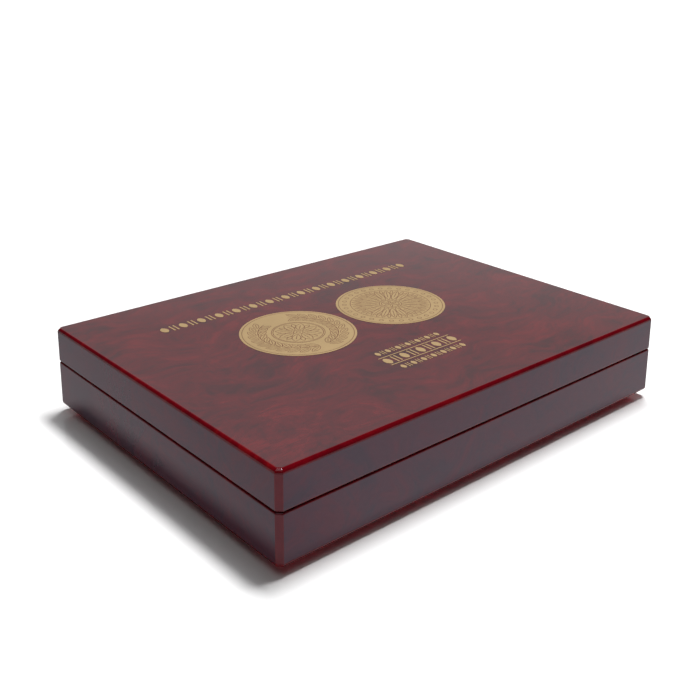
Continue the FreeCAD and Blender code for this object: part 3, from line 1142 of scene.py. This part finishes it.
nodeFinish = {
    "base_bottom_panel": underside,
    "lid_lining_board": liningSatin,
    "tray_board": board,
    "tray_rest_front": sideLacquerPaintedSheen,
    "tray_rest_back": sideLacquerPaintedSheen,
    "tray_rest_left": sideLacquerPaintedSheen,
    "tray_rest_right": sideLacquerPaintedSheen,
    "foot_front_left": footRubber,
    "foot_front_right": footRubber,
    "foot_back_left": footRubber,
    "foot_back_right": footRubber,
    "hinge_base_leaf_left": brass,
    "hinge_base_leaf_right": brass,
    "hinge_lid_leaf_left": brass,
    "hinge_lid_leaf_right": brass,
    "hinge_pin_left": brass,
    "hinge_pin_right": brass,
    "hinge_base_screws": screwBrass,
    "hinge_lid_screws": screwBrass,
    "base_magnets": nickel,
    "lid_magnets": nickel,
    "foil_disc_left": foilGold,
    "foil_disc_right": foilGold,
    "foil_band": foilGold,
    "foil_motif": foilGold,
}
for nodeName, material in nodeFinish.items():
    giveMaterials(nodes[nodeName], [material])
print("nodes finished")


# floor, world and lamps

stageLook = {
    "floorSize": 40.0,
    "floorWhite": 0.80,
    "floorSeen": 0.30,        # how much whiter the camera sees the floor
    "farWhite": [(0.0, 0.0), (0.14, 0.0), (0.4, 3.0), (1.0, 24.0)],
    "farReach": 5.0,
    "leftPaintedShade": [(0.28, 0.60), (0.34, 0.66), (0.42, 1.0)],  # painted shade: the floor left of the case darker in mirrored rays, by x + middle
    "middle": 0.5,
    "floorGloss": 0.10,
    "lampFar": 3.0,
    "key": {"from": (0.229, 0.04, 1.0), "spread": (21.0, 10.5), "power": 95.0},
    "wing": {"from": (0.085, 0.04, 1.0), "spread": (21.0, 8.5), "power": 9.0},
    "fillSide": (-0.26, -0.26, 0.93),
    "fill": [(0.92, 0.0), (0.98, 0.86)],
    "farSide": (0.66, 0.75, 0.0),
    "farShare": [(0.60, 0.0), (0.86, 1.0)],
    "farSweep": [
        (0.0, 1.0), (0.03, 1.0), (0.07, 0.20), (0.22, 0.25), (0.28, 0.62),
        (0.37, 0.50), (0.50, 0.72), (0.62, 0.60), (0.8, 0.06),
    ],
    "nearSweep": [(0.0, 1.0), (0.04, 0.70), (0.08, 0.22), (0.16, 0.04), (0.5, 0.02)],
}


def makeFloor():
    bpy.ops.object.select_all(action="DESELECT")
    bpy.ops.mesh.primitive_plane_add(size=stageLook["floorSize"], location=(0, 0, 0))
    floor = named("floor")
    material, tree = newTree("floorWhite")
    place = addNode(tree, "ShaderNodeTexCoord").outputs["Object"]
    distance = addNode(tree, "ShaderNodeVectorMath", {0: place}, operation="LENGTH").outputs["Value"]
    share = math2(tree, "DIVIDE", distance, stageLook["farReach"])
    seen = math2(tree, "ADD", addRamp(tree, share, stageLook["farWhite"]), stageLook["floorSeen"])
    seen = math2(tree, "MULTIPLY", seen, seenRays(tree))
    across = addNode(tree, "ShaderNodeSeparateXYZ", {"Vector": place}).outputs["X"]
    across = math2(tree, "ADD", across, stageLook["middle"])
    mirrored = addNode(tree, "ShaderNodeLightPath").outputs["Is Glossy Ray"]
    # painted shade: mirrored rays see the floor left of the case darker
    dim = math2(tree, "SUBTRACT", 1.0, addRamp(tree, across, stageLook["leftPaintedShade"]))
    dim = math2(tree, "SUBTRACT", 1.0, math2(tree, "MULTIPLY", dim, mirrored))
    white = math2(tree, "MULTIPLY", math2(tree, "ADD", seen, stageLook["floorWhite"]), dim)
    matt = addNode(tree, "ShaderNodeBsdfDiffuse", {"Color": white})
    gloss = addNode(tree, "ShaderNodeBsdfAnisotropic", {"Roughness": stageLook["floorGloss"]})
    mirror = addNode(tree, "ShaderNodeFresnel", {"IOR": 1.4}).outputs[0]
    both = addNode(tree, "ShaderNodeMixShader", {0: mirror, 1: matt.outputs[0], 2: gloss.outputs[0]})
    giveMaterials(floor, [finishTree(material, tree, both)])


def makeWorld():  # white at the horizon, grey higher on the far side, dark above, and white to the camera
    world = bpy.data.worlds.new("studio")
    scene.world = world
    world.use_nodes = True
    tree = world.node_tree
    tree.nodes.clear()
    direction = addNode(tree, "ShaderNodeTexCoord").outputs["Generated"]
    height = addNode(tree, "ShaderNodeSeparateXYZ", {"Vector": direction}).outputs["Z"]
    ahead = vectorMath(tree, "DOT_PRODUCT", direction, stageLook["farSide"])["Value"]
    share = addRamp(tree, ahead, stageLook["farShare"], True)
    farSweep = addRamp(tree, height, stageLook["farSweep"])
    nearSweep = addRamp(tree, height, stageLook["nearSweep"])
    colour = mixColours(tree, share, nearSweep, farSweep)
    beside = vectorMath(tree, "DOT_PRODUCT", direction, stageLook["fillSide"])["Value"]
    fill = addRamp(tree, beside, stageLook["fill"], True)
    colour = mixColours(tree, 1.0, colour, fill, "ADD")
    colour = mixColours(tree, seenRays(tree), colour, (1, 1, 1))
    light = addNode(tree, "ShaderNodeBackground", {"Color": colour, "Strength": 1.0})
    addNode(tree, "ShaderNodeOutputWorld", {"Surface": light.outputs[0]})


def makeLamp(name, look):  # a soft box over the case, given by its direction and its angles
    away = Vector(look["from"]).normalized()
    far = stageLook["lampFar"]
    width, length = (2 * far * math.tan(math.radians(spread / 2)) for spread in look["spread"])
    turn = away.to_track_quat("Z", "Y").to_euler()
    bpy.ops.object.light_add(type="AREA", location=away * far, rotation=turn)
    lamp = bpy.context.object
    lamp.name = name
    lamp.data.shape = "RECTANGLE"
    lamp.data.size = width
    lamp.data.size_y = length
    lamp.data.energy = look["power"]


makeFloor()
makeWorld()
makeLamp("keyLamp", stageLook["key"])
makeLamp("wingLamp", stageLook["wing"])
print("stage made")
